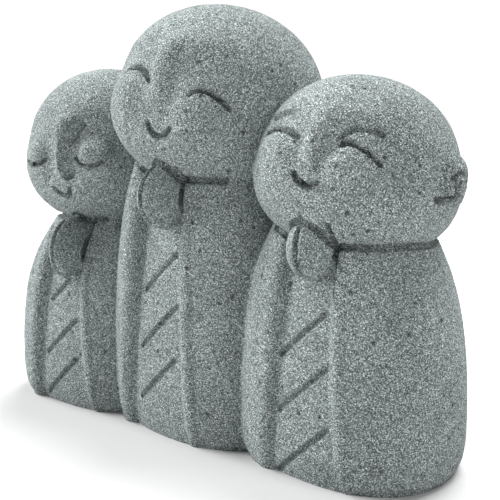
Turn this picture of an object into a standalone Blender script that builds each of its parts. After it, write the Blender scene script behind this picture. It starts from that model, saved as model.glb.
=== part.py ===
"""Three small jizo figures standing side by side, cast as one block of fine grey stone.

Metres, +Z up. The figures look along -Y and the row runs along X. The origin is on
the flat underside, under the middle of the block.
"""

import math

import bmesh
import bpy
import numpy as np
from mathutils import Matrix, Vector
from mathutils.bvhtree import BVHTree

# Heights of the three figures, in metres
LEFT_HEIGHT = 0.1295
MIDDLE_HEIGHT = 0.150
RIGHT_HEIGHT = 0.125

# How far neighbouring bodies run into each other along the row, and how far back each one stands
LEFT_JOIN = 0.0205
RIGHT_JOIN = 0.0185
LEFT_SET_BACK = 0.004
MIDDLE_SET_BACK = 0.002

# Cast surface: grain of the rebuilt skin, how often it is softened, and the facets that are kept
SKIN_GRAIN = 0.0006
SKIN_SOFTENING = 4
FACETS = 9900
CARVING_WEIGHT = 0.5
CARVING_CARE = 0.007
CARVING_MARGIN = 2.0
UNDERSIDE_ALLOWANCE = 0.004
UNDERSIDE_SNAP = 0.4

# Round and squarish sections, and how finely each form is drawn before its skin is rebuilt
HEAD_POWER = 2.15
BODY_POWER = 2.4
HEAD_FINENESS = 7
LIMB_FINENESS = 5
BODY_SIDES = 240
BODY_LEVELS = 150
ROUTE_STEPS = 5

# Half width of a body at shares of its own height, as shares of its widest half width
BODY_PROFILE = [
    (0.00, 0.93),
    (0.03, 0.97),
    (0.12, 1.00),
    (0.30, 1.00),
    (0.50, 0.97),
    (0.70, 0.90),
    (0.85, 0.78),
    (1.00, 0.60),
    (1.12, 0.46),
]
BASE_ROUNDING = 0.016
BASE_INSET = 0.012
SWAY_LIMIT = 1.2

# Robe opening down the front, as shares of a figure's height. Its left wall is wide and its
# right one narrow. The slope is how much deeper it is on its left side, and the fade is how
# softly it ends under the hands.
OPENING_NARROWING = 0.80
LEFT_WALL = 0.034
RIGHT_WALL = 0.015
OPENING_DEPTH = 0.033
OPENING_FOOT_DEPTH = 0.013
OPENING_SLOPE = 0.08
OPENING_FADE = 0.10
ROBE_ROLL_HEIGHT = 0.003
ROBE_ROLL_WIDTH = 0.014
ROBE_FRONT = 0.3

# Carved lines, as shares of a figure's height
LINE_HALF_WIDTH = 0.0095
LINE_DEPTH = 0.0100
FOLD_HALF_WIDTH = 0.0095
FOLD_DEPTH = 0.0080
FOLD_SLOPE = 0.92
FOLD_LEFT_GAP = 0.036
FOLD_RIGHT_GAP = 0.018
FOLD_REACH = 0.12
FRONT_CLEARANCE = 0.4

# Cheeks, eyelids and nose tip. Places are shares of a head's half width and of its height over
# its widest level, a cheek's under its eye's level. Reaches are shares of the figure's height.
CHEEK_LINE = [(0.40, -0.26), (0.46, -0.24)]
CHEEK_REACH = 0.10
LID_LINE = [(0.38, 0.13), (0.50, 0.12)]
LID_REACH = 0.055
NOSE_TIP_LENGTH = 0.004
NOSE_TIP_REACH = 0.032
NOSE_TIP_SHARE = 0.5

# Ears, as shares of a figure's height. Their curls run over shares of the ear's half size.
EAR_HALF_WIDTH = 0.040
EAR_HALF_DEPTH = 0.047
EAR_HALF_HEIGHT = 0.060
EAR_PROUD = 0.020
EAR_LIFT = 0.050
EAR_LINE_HALF_WIDTH = 0.0105
EAR_LINE_DEPTH = 0.0085
EAR_RIM = [(-0.55, -0.30), (-0.50, 0.30), (0.0, 0.62), (0.50, 0.35), (0.55, -0.25), (0.20, -0.62)]
EAR_CURL = [(-0.05, 0.15), (0.05, -0.15), (-0.10, -0.42), (-0.38, -0.45)]

# Two hands laid palm to palm as one rounded prow, as shares of a figure's height
HAND_HALF_DEPTH = 0.100
HAND_HALF_WIDTH = 0.074

STONE_COLOUR = (0.235, 0.265, 0.262, 1.0)
STONE_ROUGHNESS = 0.93

# Proportions of the figures, as shares of each one's own height.
# Eyes, mouths, brows and noses run through points that are shares of the head's half width and
# of its height over its widest level.
LEFT = {
    "height": LEFT_HEIGHT,
    "body_half_width": 0.297,
    "body_half_depth": 0.240,
    "body_height": 0.548,
    "head_half_width": 0.270,
    "head_half_depth": 0.226,
    "head_above": 0.283,
    "head_below": 0.190,
    "tilt": 0.0,
    "turn": math.radians(5),
    "sway": 0.0,
    "opening_left": 0.1236,
    "opening_right": 0.085,
    "hands_level": 0.472,
    "hands_proud": 0.020,
    "hand_half_height": 0.096,
    "eye_level": 0.10,
    "eyes": [
        [(0.189, 0.095), (0.23, 0.058), (0.298, 0.026), (0.389, 0.005), (0.473, 0.016), (0.565, 0.062)],
        [(-0.258, 0.057), (-0.341, 0.020), (-0.451, -0.005), (-0.53, 0.005), (-0.60, 0.04)],
    ],
    "mouth": [(-0.126, -0.225), (-0.068, -0.272), (0.02, -0.308), (0.074, -0.293), (0.107, -0.225)],
    "brow": [(0.15, -0.02), (0.16, 0.20), (0.27, 0.36), (0.45, 0.40), (0.64, 0.30)],
    "socket_depth": 0.016,
    "socket_reach": 0.060,
    "nose": [(0.03, 0.42), (0.03, 0.22), (0.03, 0.00)],
    "nose_height": 0.020,
    "nose_reach": 0.034,
    "lid_height": 0.010,
    "cheek_height": 0.004,
    "folds": (0.380, 0.228, 0.106),
    "ears": (-1,),
}
MIDDLE = {
    "height": MIDDLE_HEIGHT,
    "body_half_width": 0.264,
    "body_half_depth": 0.209,
    "body_height": 0.730,
    "head_half_width": 0.259,
    "head_half_depth": 0.232,
    "head_above": 0.258,
    "head_below": 0.174,
    "tilt": 0.18,
    "turn": 0.0,
    "sway": -0.010,
    "opening_left": 0.127,
    "opening_right": 0.048,
    "hands_level": 0.568,
    "hands_proud": 0.046,
    "hand_half_height": 0.078,
    "eye_level": 0.255,
    "eyes": [
        [(0.335, 0.26), (0.368, 0.294), (0.428, 0.312), (0.498, 0.301), (0.575, 0.257), (0.653, 0.194)],
        [(-0.123, 0.293), (-0.234, 0.36), (-0.338, 0.379), (-0.45, 0.355), (-0.54, 0.295)],
    ],
    "mouth": [(-0.045, -0.041), (0.02, -0.104), (0.09, -0.138), (0.165, -0.108), (0.23, -0.041)],
    "brow": [(0.13, 0.10), (0.17, 0.32), (0.33, 0.48), (0.52, 0.46), (0.68, 0.34)],
    "socket_depth": 0.011,
    "socket_reach": 0.065,
    "nose": [(0.0, 0.62), (0.0, 0.40), (0.0, 0.20)],
    "nose_height": 0.009,
    "nose_reach": 0.036,
    "lid_height": 0.0,
    "cheek_height": 0.009,
    "folds": (0.418, 0.290, 0.167),
    "ears": (),
}
RIGHT = {
    "height": RIGHT_HEIGHT,
    "body_half_width": 0.299,
    "body_half_depth": 0.241,
    "body_height": 0.660,
    "head_half_width": 0.266,
    "head_half_depth": 0.238,
    "head_above": 0.269,
    "head_below": 0.183,
    "tilt": 0.136,
    "turn": 0.0,
    "sway": -0.014,
    "opening_left": 0.130,
    "opening_right": 0.090,
    "hands_level": 0.582,
    "hands_proud": 0.000,
    "hand_half_height": 0.083,
    "eye_level": 0.355,
    "eyes": [
        [(0.212, 0.401), (0.255, 0.434), (0.32, 0.455), (0.398, 0.443), (0.487, 0.405), (0.619, 0.308)],
        [(-0.198, 0.419), (-0.318, 0.452), (-0.431, 0.457), (-0.57, 0.425), (-0.663, 0.378)],
    ],
    "mouth": [(-0.136, 0.124), (-0.072, 0.068), (0.003, 0.037), (0.062, 0.033), (0.106, 0.054), (0.136, 0.086)],
    "brow": [(0.11, 0.24), (0.17, 0.42), (0.30, 0.55), (0.46, 0.56), (0.60, 0.47)],
    "socket_depth": 0.010,
    "socket_reach": 0.050,
    "nose": [(0.0, 0.66), (0.0, 0.46), (0.0, 0.27)],
    "nose_height": 0.008,
    "nose_reach": 0.034,
    "lid_height": 0.0,
    "cheek_height": 0.008,
    "folds": (0.390, 0.246, 0.088),
    "ears": (1,),
}


def clear_scene():
    for obj in list(bpy.data.objects):
        bpy.data.objects.remove(obj)


def smooth_step(value):
    value = np.clip(value, 0.0, 1.0)
    return value * value * (3.0 - 2.0 * value)


def curve_through(points, steps):
    """Points of a smooth curve that passes through the given ones."""
    given = np.array(points, dtype=float)
    padded = np.vstack([2 * given[0] - given[1], given, 2 * given[-1] - given[-2]])
    result = []
    for index in range(len(given) - 1):
        before, start, end, after = padded[index:index + 4]
        for step in range(steps):
            t = step / steps
            linear = (end - before) * t
            square = (2 * before - 5 * start + 4 * end - after) * t * t
            cube = (3 * start - before - 3 * end + after) * t ** 3
            result.append(0.5 * (2 * start + linear + square + cube))
    result.append(given[-1])
    return np.array(result)


def distance_to_path(points, path):
    """Distance from each point to a path of straight pieces."""
    nearest = np.full(len(points), np.inf)
    for start, end in zip(path[:-1], path[1:]):
        run = end - start
        share = np.clip(((points - start) @ run) / max(run @ run, 1e-12), 0.0, 1.0)
        offset = points - start - share[:, None] * run
        nearest = np.minimum(nearest, np.linalg.norm(offset, axis=1))
    return nearest


def carve(points, outward, path, reach, depth):
    """Press the surface in along a path, fading out at the reach. A negative depth raises it."""
    share = np.clip(distance_to_path(points, path) / reach, 0.0, 1.0)
    amount = depth * (1.0 - share * share) ** 2
    return points - outward * amount[:, None]


def head_surface(figure, face_points):
    """Places on the front of a head, from shares of its half width and its upper height."""
    height = figure["height"]
    half_width = figure["head_half_width"] * height
    half_depth = figure["head_half_depth"] * height
    above = figure["head_above"] * height
    below = figure["head_below"] * height
    x = face_points[:, 0] * half_width
    z = face_points[:, 1] * above
    reach = np.where(z > 0.0, above, below)
    rest = 1.0 - np.abs(x / half_width) ** HEAD_POWER - np.abs(z / reach) ** HEAD_POWER
    y = -half_depth * np.clip(rest, 0.0, 1.0) ** (1.0 / HEAD_POWER)
    return np.stack([x, y, z], axis=1)


def head_shape(figure):
    """A head in its own place, as points, faces and outward directions."""
    height = figure["height"]
    ball = bmesh.new()
    bmesh.ops.create_icosphere(ball, subdivisions=HEAD_FINENESS, radius=1.0)
    points = np.array([vertex.co[:] for vertex in ball.verts])
    faces = [[vertex.index for vertex in face.verts] for face in ball.faces]
    ball.free()
    size = np.sum(np.abs(points) ** HEAD_POWER, axis=1) ** (1.0 / HEAD_POWER)
    points = points / size[:, None]
    half_width = figure["head_half_width"] * height
    half_depth = figure["head_half_depth"] * height
    reach = np.where(points[:, 2] > 0.0, figure["head_above"], figure["head_below"]) * height
    scale = np.stack([np.full(len(points), half_width), np.full(len(points), half_depth), reach], axis=1)
    outward = np.sign(points) * np.abs(points) ** (HEAD_POWER - 1.0) / scale
    outward /= np.linalg.norm(outward, axis=1)[:, None]
    return points * scale, faces, outward


def carve_face(figure, points, outward):
    """Sockets, cheeks, lids and nose of one head."""
    height = figure["height"]
    level = figure["eye_level"]
    for side in (-1, 1):
        mirror = np.array([side, 1.0])
        brow = head_surface(figure, curve_through(figure["brow"], ROUTE_STEPS) * mirror)
        points = carve(points, outward, brow, figure["socket_reach"] * height, figure["socket_depth"] * height)
        cheek = head_surface(figure, (np.array(CHEEK_LINE) + np.array([0.0, level])) * mirror)
        points = carve(points, outward, cheek, CHEEK_REACH * height, -figure["cheek_height"] * height)
        if figure["lid_height"] > 0.0:
            lid = head_surface(figure, np.array(LID_LINE) * mirror)
            points = carve(points, outward, lid, LID_REACH * height, -figure["lid_height"] * height)
    nose = head_surface(figure, curve_through(figure["nose"], ROUTE_STEPS))
    points = carve(points, outward, nose, figure["nose_reach"] * height, -figure["nose_height"] * height)
    tip = nose[-1:] + np.array([[0.0, 0.0, NOSE_TIP_LENGTH * height], [0.0, 0.0, 0.0]])
    tip_height = NOSE_TIP_SHARE * figure["nose_height"] * height
    return carve(points, outward, tip, NOSE_TIP_REACH * height, -tip_height)


def face_lines(figure, on_head):
    """The eye and mouth lines of one head, in front of its ball in the row's frame."""
    lines = [curve_through(line, ROUTE_STEPS) for line in figure["eyes"] + [figure["mouth"]]]
    ahead = np.array([0.0, -FRONT_CLEARANCE * figure["height"], 0.0])
    return [moved(head_surface(figure, line) * np.array([1.0, 0.0, 1.0]) + ahead, on_head) for line in lines]


def fold_lines(figure, on_body):
    """The three slanting folds on the panel inside the robe opening, in front of the body."""
    height = figure["height"]
    front = -FRONT_CLEARANCE * height
    lines = []
    for level in figure["folds"]:
        across = np.linspace(-FOLD_REACH, FOLD_REACH, 19) * height
        up = level * height + FOLD_SLOPE * across
        left, right = opening_edges(figure, up)
        inside = (across > FOLD_LEFT_GAP * height - left) & (across < right - FOLD_RIGHT_GAP * height)
        across = across + sway_at(figure, up)
        line = np.stack([across, np.full_like(across, front), up], axis=1)[inside]
        lines.append(moved(line, on_body))
    return lines


def ear_shape(figure, side):
    """A flattened shell on the side of a head, with the curl of the ear pressed into it."""
    height = figure["height"]
    ball = bmesh.new()
    bmesh.ops.create_icosphere(ball, subdivisions=LIMB_FINENESS, radius=1.0)
    points = np.array([vertex.co[:] for vertex in ball.verts])
    faces = [[vertex.index for vertex in face.verts] for face in ball.faces]
    ball.free()
    half_size = np.array([EAR_HALF_WIDTH, EAR_HALF_DEPTH, EAR_HALF_HEIGHT]) * height
    points = points * half_size
    outward = np.zeros_like(points)
    outward[:, 0] = np.where(points[:, 0] * side > 0.0, side, 0.0)
    for route in (EAR_RIM, EAR_CURL):
        turns = curve_through(route, ROUTE_STEPS) * half_size[1:]
        cap = 1.0 - np.sum((turns / half_size[1:]) ** 2, axis=1)
        across = side * half_size[0] * np.sqrt(np.clip(cap, 0.0, 1.0))
        path = np.column_stack([across, turns])
        points = carve(points, outward, path, EAR_LINE_HALF_WIDTH * height, EAR_LINE_DEPTH * height)
    seat = (figure["head_half_width"] + EAR_PROUD - EAR_HALF_WIDTH) * height
    points += np.array([side * seat, 0.0, EAR_LIFT * height])
    return points, faces


def head_frame(figure, place):
    """Turns and moves a head from its own place to its place in the row."""
    level = (1.0 - figure["head_above"]) * figure["height"]
    lean = Matrix.Rotation(figure["tilt"], 4, "Y")
    turn = Matrix.Rotation(figure["turn"], 4, "Z")
    return Matrix.Translation(place + Vector((0.0, 0.0, level))) @ turn @ lean


def body_frame(figure, place):
    return Matrix.Translation(place) @ Matrix.Rotation(figure["turn"], 4, "Z")


def moved(points, frame):
    turn = np.array(frame.to_3x3())
    shift = np.array(frame.translation)
    return points @ turn.T + shift


def opening_edges(figure, z):
    """How far the opening reaches left and right at a height. It narrows from the foot to the hands."""
    rise = np.clip(z / (figure["hands_level"] * figure["height"]), 0.0, 1.0)
    narrowed = figure["height"] * (1.0 - (1.0 - OPENING_NARROWING) * rise)
    return figure["opening_left"] * narrowed, figure["opening_right"] * narrowed


def sway_at(figure, z):
    """How far the body's middle has moved sideways at a height."""
    share = np.clip(z / (figure["body_height"] * figure["height"]), 0.0, SWAY_LIMIT)
    return figure["sway"] * figure["height"] * share ** 2


def opening_recess(figure, x, z):
    """How far the robe front is pressed in at a place, with a rolled edge raised beside it."""
    height = figure["height"]
    top = figure["hands_level"] * height
    left, right = opening_edges(figure, z)
    rise = np.clip(z / top, 0.0, 1.0)
    depth = (OPENING_FOOT_DEPTH + (OPENING_DEPTH - OPENING_FOOT_DEPTH) * rise) * height - OPENING_SLOPE * x
    from_left = smooth_step((x + left) / (LEFT_WALL * height))
    from_right = smooth_step((right - x) / (RIGHT_WALL * height))
    under_hands = 1.0 - smooth_step((z - top) / (OPENING_FADE * height))
    edge = np.where(x < 0.0, -left, right)
    roll = np.exp(-((x - edge) / (ROBE_ROLL_WIDTH * height)) ** 2)
    return under_hands * (depth * from_left * from_right - ROBE_ROLL_HEIGHT * height * roll)


def body_shape(figure):
    """A robed body from below the ground up into the head, with the opening and its folds."""
    height = figure["height"]
    half_width = figure["body_half_width"] * height
    half_depth = figure["body_half_depth"] * height
    loft_height = figure["body_height"] * height
    profile = curve_through(BODY_PROFILE, 8)
    top_share = BODY_PROFILE[-1][0]
    rising = np.linspace(0.0, top_share * loft_height, BODY_LEVELS)
    levels = np.concatenate([[-UNDERSIDE_ALLOWANCE], rising])
    angles = np.linspace(0.0, 2.0 * math.pi, BODY_SIDES, endpoint=False)
    across = np.sign(np.cos(angles)) * np.abs(np.cos(angles)) ** (2.0 / BODY_POWER)
    along = np.sign(np.sin(angles)) * np.abs(np.sin(angles)) ** (2.0 / BODY_POWER)
    rings = []
    for z in levels:
        share = np.interp(max(z, 0.0) / loft_height, profile[:, 0], profile[:, 1])
        lift = np.clip(1.0 - max(z, 0.0) / (BASE_ROUNDING * height), 0.0, 1.0)
        inset = BASE_INSET * height * (1.0 - math.sqrt(1.0 - lift * lift))
        x = across * (half_width * share - inset)
        y = along * (half_depth * share - inset)
        front = y < -ROBE_FRONT * half_depth
        recess = opening_recess(figure, x, np.full_like(x, z))
        y = np.where(front, y + recess, y)
        x = x + sway_at(figure, z)
        rings.append(np.stack([x, y, np.full_like(x, z)], axis=1))
    points = np.concatenate(rings)
    count = len(angles)
    faces = []
    for level in range(len(levels) - 1):
        for step in range(count):
            here = level * count + step
            beside = level * count + (step + 1) % count
            faces.append([here, beside, beside + count, here + count])
    faces.append([step for step in reversed(range(count))])
    faces.append([(len(levels) - 1) * count + step for step in range(count)])
    return points, faces


def hands_shape(figure):
    """Two hands laid palm to palm under the chin, as one rounded prow."""
    height = figure["height"]
    ball = bmesh.new()
    bmesh.ops.create_icosphere(ball, subdivisions=LIMB_FINENESS, radius=1.0)
    points = np.array([vertex.co[:] for vertex in ball.verts])
    faces = [[vertex.index for vertex in face.verts] for face in ball.faces]
    ball.free()
    points = points * np.array([HAND_HALF_WIDTH, HAND_HALF_DEPTH, figure["hand_half_height"]]) * height
    front = figure["body_half_depth"] + figure["hands_proud"] - HAND_HALF_DEPTH
    centre = np.array([0.0, -front, figure["hands_level"]]) * height
    centre[0] += sway_at(figure, centre[2])
    return points + centre, faces


def place_in_row():
    """Where each figure stands, from the widths of the bodies and how far they run together."""
    reach = {}
    for name, figure in (("left", LEFT), ("middle", MIDDLE), ("right", RIGHT)):
        reach[name] = figure["body_half_width"] * figure["height"]
    left_x = -(reach["left"] + reach["middle"] - LEFT_JOIN)
    right_x = reach["right"] + reach["middle"] - RIGHT_JOIN
    return [
        (LEFT, Vector((left_x, LEFT_SET_BACK, 0.0))),
        (MIDDLE, Vector((0.0, MIDDLE_SET_BACK, 0.0))),
        (RIGHT, Vector((right_x, 0.0, 0.0))),
    ]


def figure_shapes(figure, place):
    """All the overlapping shapes of one figure, in the row's frame."""
    on_head = head_frame(figure, place)
    on_body = body_frame(figure, place)
    points, faces, outward = head_shape(figure)
    shapes = [(moved(carve_face(figure, points, outward), on_head), faces)]
    for side in figure["ears"]:
        points, faces = ear_shape(figure, side)
        shapes.append((moved(points, on_head), faces))
    points, faces = body_shape(figure)
    shapes.append((moved(points, on_body), faces))
    points, faces = hands_shape(figure)
    shapes.append((moved(points, on_body), faces))
    return shapes


def joined_mesh(shapes):
    """One mesh that holds all the shapes, still overlapping."""
    points = []
    faces = []
    start = 0
    for shape_points, shape_faces in shapes:
        points.extend(map(tuple, shape_points))
        for face in shape_faces:
            faces.append([start + index for index in face])
        start += len(shape_points)
    mesh = bpy.data.meshes.new("jizo_group")
    mesh.from_pydata(points, [], faces)
    return mesh


def outward_of(mesh):
    """Places and outward directions of a mesh's points."""
    points = np.empty(3 * len(mesh.vertices), dtype=np.float32)
    mesh.vertices.foreach_get("co", points)
    outward = np.empty_like(points)
    mesh.vertex_normals.foreach_get("vector", outward)
    return points.reshape(-1, 3).astype(float), outward.reshape(-1, 3).astype(float)


def lay_lines(obj, lines):
    """Project lines from in front of the figures onto the skin."""
    tree = BVHTree.FromObject(obj, bpy.context.evaluated_depsgraph_get())
    laid = []
    for path, inward, half_width, depth in lines:
        hits = [tree.ray_cast(Vector(place), inward)[0] for place in path]
        laid.append((np.array([hit[:] for hit in hits if hit]), half_width, depth))
    return laid


def cut_lines(obj, lines):
    """Cut narrow carved lines into the skin, each one a path with its half width and depth."""
    points, outward = outward_of(obj.data)
    for laid, half_width, depth in lines:
        low = laid.min(axis=0) - half_width
        high = laid.max(axis=0) + half_width
        near = np.all((points > low) & (points < high), axis=1)
        points[near] = carve(points[near], outward[near], laid, half_width, depth)
    obj.data.vertices.foreach_set("co", points.astype(np.float32).ravel())
    obj.data.update()


def carved_lines(middle):
    """Every narrow line on the three figures, with its way in, half width and depth."""
    lines = []
    for figure, place in place_in_row():
        height = figure["height"]
        shifted = place - Vector(middle)
        inward = body_frame(figure, shifted).to_3x3() @ Vector((0.0, 1.0, 0.0))
        for line in face_lines(figure, head_frame(figure, shifted)):
            lines.append((line, inward, LINE_HALF_WIDTH * height, LINE_DEPTH * height))
        for line in fold_lines(figure, body_frame(figure, shifted)):
            lines.append((line, inward, FOLD_HALF_WIDTH * height, FOLD_DEPTH * height))
    return lines


def apply_modifiers(obj):
    depsgraph = bpy.context.evaluated_depsgraph_get()
    finished = bpy.data.meshes.new_from_object(obj.evaluated_get(depsgraph))
    obj.modifiers.clear()
    obj.data = finished


def rebuild_skin(obj):
    """One closed skin round the overlapping shapes, with the soft inner corners of a casting."""
    remesh = obj.modifiers.new("skin", "REMESH")
    remesh.mode = "VOXEL"
    remesh.voxel_size = SKIN_GRAIN
    soften = obj.modifiers.new("soften", "SMOOTH")
    soften.factor = 0.5
    soften.iterations = SKIN_SOFTENING
    apply_modifiers(obj)


def mark_carving(obj, lines):
    """Weight the skin near the carved lines, where facets stay close together."""
    points, _ = outward_of(obj.data)
    nearest = np.full(len(points), np.inf)
    for path, half_width, _ in lines:
        reach = CARVING_MARGIN * half_width
        near = np.all((points > path.min(axis=0) - reach) & (points < path.max(axis=0) + reach), axis=1)
        nearest[near] = np.minimum(nearest[near], distance_to_path(points[near], path) / reach)
    group = obj.vertex_groups.new(name="carving")
    for index in np.flatnonzero(nearest < 1.0):
        group.add([int(index)], CARVING_WEIGHT, "REPLACE")


def keep_facets(obj):
    """Thin the skin out to the facets that its forms need."""
    reduce = obj.modifiers.new("facets", "DECIMATE")
    reduce.vertex_group = "carving"
    reduce.invert_vertex_group = True
    reduce.vertex_group_factor = CARVING_CARE
    reduce.ratio = FACETS / (2.0 * len(obj.data.polygons))
    reduce.use_collapse_triangulate = True
    apply_modifiers(obj)


def keep_outer_shell(shell):
    """Keep the largest connected body of the mesh."""
    left = set(shell.verts)
    bodies = []
    while left:
        front = [left.pop()]
        body = set(front)
        while front:
            vertex = front.pop()
            for edge in vertex.link_edges:
                other = edge.other_vert(vertex)
                if other in left:
                    left.remove(other)
                    body.add(other)
                    front.append(other)
        bodies.append(body)
    bodies.sort(key=len)
    for body in bodies[:-1]:
        bmesh.ops.delete(shell, geom=list(body), context="VERTS")


def cut_underside(obj):
    """Cut the block off flat at the ground and centre it over the origin."""
    shell = bmesh.new()
    shell.from_mesh(obj.data)
    keep_outer_shell(shell)
    for vertex in shell.verts:
        if abs(vertex.co.z) < UNDERSIDE_SNAP * SKIN_GRAIN:
            vertex.co.z = 0.0
    geometry = list(shell.verts) + list(shell.edges) + list(shell.faces)
    cut = bmesh.ops.bisect_plane(
        shell, geom=geometry, dist=1e-7, plane_co=(0, 0, 0), plane_no=(0, 0, 1), clear_inner=True
    )
    rim = [item for item in cut["geom_cut"] if isinstance(item, bmesh.types.BMEdge)]
    rim = [edge for edge in rim if edge.is_boundary]
    bmesh.ops.holes_fill(shell, edges=rim, sides=0)
    bmesh.ops.dissolve_degenerate(shell, edges=shell.edges, dist=1e-5)
    bmesh.ops.recalc_face_normals(shell, faces=shell.faces)
    corners = np.array([vertex.co[:] for vertex in shell.verts])
    middle = (corners.min(axis=0) + corners.max(axis=0)) / 2.0
    bmesh.ops.translate(shell, vec=(-middle[0], -middle[1], 0.0), verts=shell.verts)
    bmesh.ops.triangulate(shell, faces=shell.faces)
    shell.to_mesh(obj.data)
    shell.free()


def stone_material():
    material = bpy.data.materials.new("stone")
    material.use_nodes = True
    shader = material.node_tree.nodes["Principled BSDF"]
    shader.inputs["Base Color"].default_value = STONE_COLOUR
    shader.inputs["Roughness"].default_value = STONE_ROUGHNESS
    shader.inputs["Metallic"].default_value = 0.0
    return material


def row_shapes():
    """The shapes of the whole row, before they are centred over the origin."""
    shapes = []
    for figure, place in place_in_row():
        shapes.extend(figure_shapes(figure, place))
    return shapes


def block_middle(shapes):
    """The middle of the row, seen from above."""
    points = np.concatenate([shape_points for shape_points, _ in shapes])
    middle = (points.min(axis=0) + points.max(axis=0)) / 2.0
    return middle * np.array([1.0, 1.0, 0.0])


def main():
    clear_scene()
    shapes = row_shapes()
    middle = block_middle(shapes)
    shapes = [(points - middle, faces) for points, faces in shapes]
    group = bpy.data.objects.new("jizo_group", joined_mesh(shapes))
    bpy.context.scene.collection.objects.link(group)
    rebuild_skin(group)
    lines = lay_lines(group, carved_lines(middle))
    cut_lines(group, lines)
    mark_carving(group, lines)
    keep_facets(group)
    cut_underside(group)
    group.data.materials.append(stone_material())
    group.data.shade_smooth()


main()
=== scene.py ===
"""Looks of a small group of three jizo, cast side by side as one block of fine grey stone."""

import math

import bpy
import numpy as np
from mathutils import Matrix, Vector


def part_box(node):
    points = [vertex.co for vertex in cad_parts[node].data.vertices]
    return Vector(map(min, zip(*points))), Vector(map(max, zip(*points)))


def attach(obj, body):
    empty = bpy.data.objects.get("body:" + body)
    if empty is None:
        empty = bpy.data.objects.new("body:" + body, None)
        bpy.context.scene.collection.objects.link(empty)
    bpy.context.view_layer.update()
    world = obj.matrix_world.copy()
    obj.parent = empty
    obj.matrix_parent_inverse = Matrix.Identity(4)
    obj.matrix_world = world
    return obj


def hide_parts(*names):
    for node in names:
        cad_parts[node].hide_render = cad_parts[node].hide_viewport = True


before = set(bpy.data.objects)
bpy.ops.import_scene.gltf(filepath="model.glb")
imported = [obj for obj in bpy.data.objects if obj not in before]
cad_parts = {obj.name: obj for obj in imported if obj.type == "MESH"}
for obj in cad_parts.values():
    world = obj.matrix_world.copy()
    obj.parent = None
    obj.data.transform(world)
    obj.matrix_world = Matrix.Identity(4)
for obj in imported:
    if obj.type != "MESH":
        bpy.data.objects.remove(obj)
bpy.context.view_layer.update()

# The block's own size comes from the frame, and every figure's height is a share of its tallest one
BLOCK_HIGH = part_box("jizo_group")[1]
TALLEST = 0.9986 * BLOCK_HIGH.z
LEFT_HEIGHT = 0.8633 * TALLEST
MIDDLE_HEIGHT = TALLEST
RIGHT_HEIGHT = 0.8333 * TALLEST

# How far neighbouring robes run into each other, and how far back the two farther figures stand
LEFT_JOIN = 0.0205
RIGHT_JOIN = 0.0185
LEFT_SET_BACK = 0.004
MIDDLE_SET_BACK = 0.002

# Subdividing shrinks a cage to these shares of its half size, a ball's and a robe's. The times that
# each form is subdivided follow.
BALL_SHARE = 0.8395
ROBE_SHARE = 0.9796
HEAD_ROUNDING = 6
ROBE_ROUNDING = 5
SMALL_ROUNDING = 5

# How much of each corner is cut off the square that a robe is drawn up from
ROBE_CORNER = 0.49

# Robe width at shares of its own height, as shares of its widest half width. It starts under
# the ground, where the block is cut flat.
ROBE_PROFILE = [
    (-0.10, 0.90),
    (-0.04, 0.90),
    (0.00, 0.915),
    (0.03, 0.965),
    (0.10, 0.998),
    (0.22, 1.00),
    (0.36, 0.997),
    (0.50, 0.972),
    (0.62, 0.938),
    (0.74, 0.878),
    (0.85, 0.785),
    (0.95, 0.665),
    (1.05, 0.54),
    (1.12, 0.46),
]

# Up to this share of its height a robe sways further sideways
SWAY_TOP = 1.2

# Robe opening down the front, as shares of a figure's height, apart from its top, which is a share
# of the hands' level. The panel in it is the front of an inner robe, which leans back and turns a
# little away from the right edge. Each roll has a radius, and a share by which it stands proud.
OPENING_BACK = 0.10
OPENING_TOP = 1.12
SLOT_FOOT = -0.12
ROLL_FOOT = -0.06
PANEL_DEPTH = 0.009
PANEL_LEAN = math.radians(2.2)
PANEL_TURN = math.radians(8)
ROLL_LEVELS = 14
ROLL_SIDES = 24
LEFT_ROLL = (0.034, 0.002)
RIGHT_ROLL = (0.024, 0.005)

# Soft forms of a face: where they lie, as lines on the face, and how far each push reaches, as a
# share of a figure's height. A cheek's line lies under the level of the eyes.
FACE_CORE = 0.008
CHEEK = [(0.40, -0.26), (0.46, -0.24)]
CHEEK_REACH = 0.095
LID = [(0.38, 0.13), (0.50, 0.12)]
LID_REACH = 0.050
NOSE_TIP_POINTS = 3
NOSE_TIP_SHARE = 0.5
NOSE_TIP_REACH = 0.030

# Hands and ears, as shares of a figure's height. The lines of an ear are in shares of its own size.
HAND_HALF_DEPTH = 0.100
EAR_HALF_WIDTH = 0.040
EAR_HALF_DEPTH = 0.055
EAR_HALF_HEIGHT = 0.072
EAR_PROUD = 0.026
EAR_LIFT = 0.045
EAR_GROOVE = [(-0.70, 0.28), (-0.25, 0.47), (0.25, 0.42), (0.55, 0.20), (0.50, -0.18), (0.32, -0.52)]
EAR_HOLLOW = [(-0.55, 0.08), (-0.40, -0.18), (-0.55, -0.40), (-0.95, -0.50), (-1.20, -0.44)]

# Cast skin: its grain and unevenness are in metres. Within short reaches of the carved lines its
# facets are first halved and later kept closest together. The last number is how many are kept.
SKIN_GRAIN = 0.00055
SKIN_SOFTENING = 3
UNEVEN_SIZE = 0.0045
UNEVEN_HEIGHT = 0.0002
REFINED_REACH = 0.0018
KEPT_REACH = 0.0016
KEPT_WEIGHT = 0.5
KEPT_FACTOR = 0.05
FACETS = 192000

# Where lines run on the robes and hands: the slope, ends and gaps of the folds and the gap of the
# sleeve's line, as shares of a figure's height, and the seam's ends, as shares of half a hand
FOLD_SLOPE = 0.92
FOLD_ACROSS = (-0.13, 0.10)
FOLD_RIGHT_GAP = 0.034
SLEEVE_GAP = 0.014
SEAM_TOP = 0.92
SEAM_FOOT = -0.78
FOLD_STEPS = 24
SEAM_STEPS = 20
SLEEVE_STEPS = 16
NECK_STEPS = 36

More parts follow.
